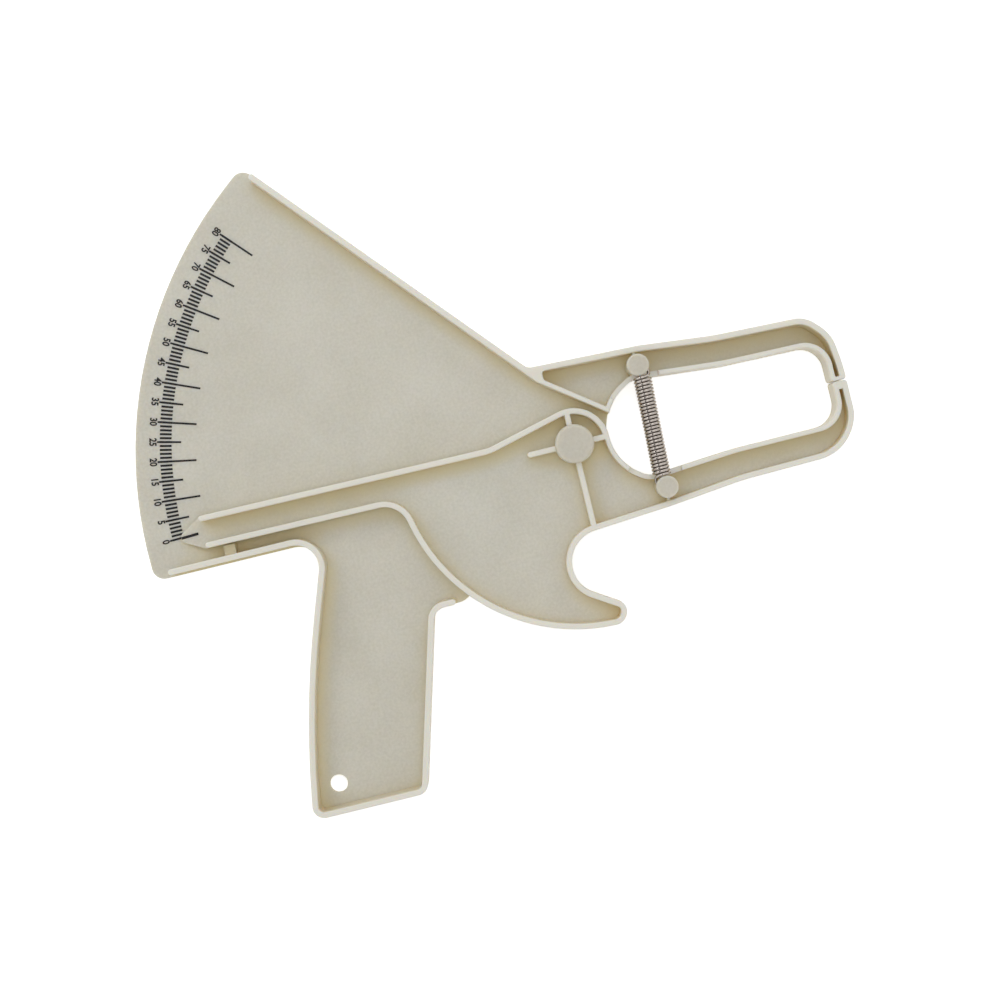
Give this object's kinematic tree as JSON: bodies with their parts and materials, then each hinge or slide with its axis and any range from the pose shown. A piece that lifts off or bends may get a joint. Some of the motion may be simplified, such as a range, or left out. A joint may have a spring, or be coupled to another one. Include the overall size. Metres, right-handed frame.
{
  "type": "skinfold caliper",
  "caption": "Flat moulded skinfold caliper: a frame with a scale fan, handle and fixed jaw, and a sprung lever that is the moving jaw at one end and the pointer at the other.",
  "frame": {"origin": "on the back face, under the hub, in the plane where the jaws close", "axes": "+X runs along the closed jaws to their tips, +Y towards the fixed jaw, +Z out of the side with the scale"},
  "size_m": [0.2836, 0.2554, 0.0176],
  "materials": {
    "ivory_abs": "satin moulded",
    "cap_abs": "satin moulded",
    "spring_steel": "drawn wire"
  },
  "bodies": {
    "frame_body": {"frame": "ivory_abs", "pivot_cap": "cap_abs", "upper_spring_button": "cap_abs"},
    "lever_body": {"lever": "ivory_abs", "lower_spring_button": "cap_abs"},
    "spring_swing_body": {"spring_fixed_half": "spring_steel"},
    "spring_stretch_body": {"spring_moving_half": "spring_steel"}
  },
  "joints": [
    {"name": "lever_pivot", "type": "hinge", "parent": "frame_body", "child": "lever_body", "pos_m": [-0.0005, 0.0004, 0], "axis": [0, 0, -1], "range_deg": [0, 49.5], "stiffness_Nm_per_rad": 0.09, "springref_deg": -34.38},
    {"name": "spring_swing", "type": "hinge", "parent": "frame_body", "child": "spring_swing_body", "pos_m": [0.03055, 0.02435, 0.01395], "axis": [0, 0, -1], "range_deg": [0, 25.1]},
    {"name": "spring_stretch", "type": "slide", "parent": "spring_swing_body", "child": "spring_stretch_body", "axis": [0, -1, 0], "range_m": [0, 0.0216], "deforming": ["spring_fixed_half", "spring_moving_half"]}
  ],
  "couplings": [
    {"joint": "spring_swing", "follows": "lever_pivot", "ratio": 0.50552},
    {"joint": "spring_stretch", "follows": "lever_pivot", "m_per_rad": 0.02492}
  ]
}
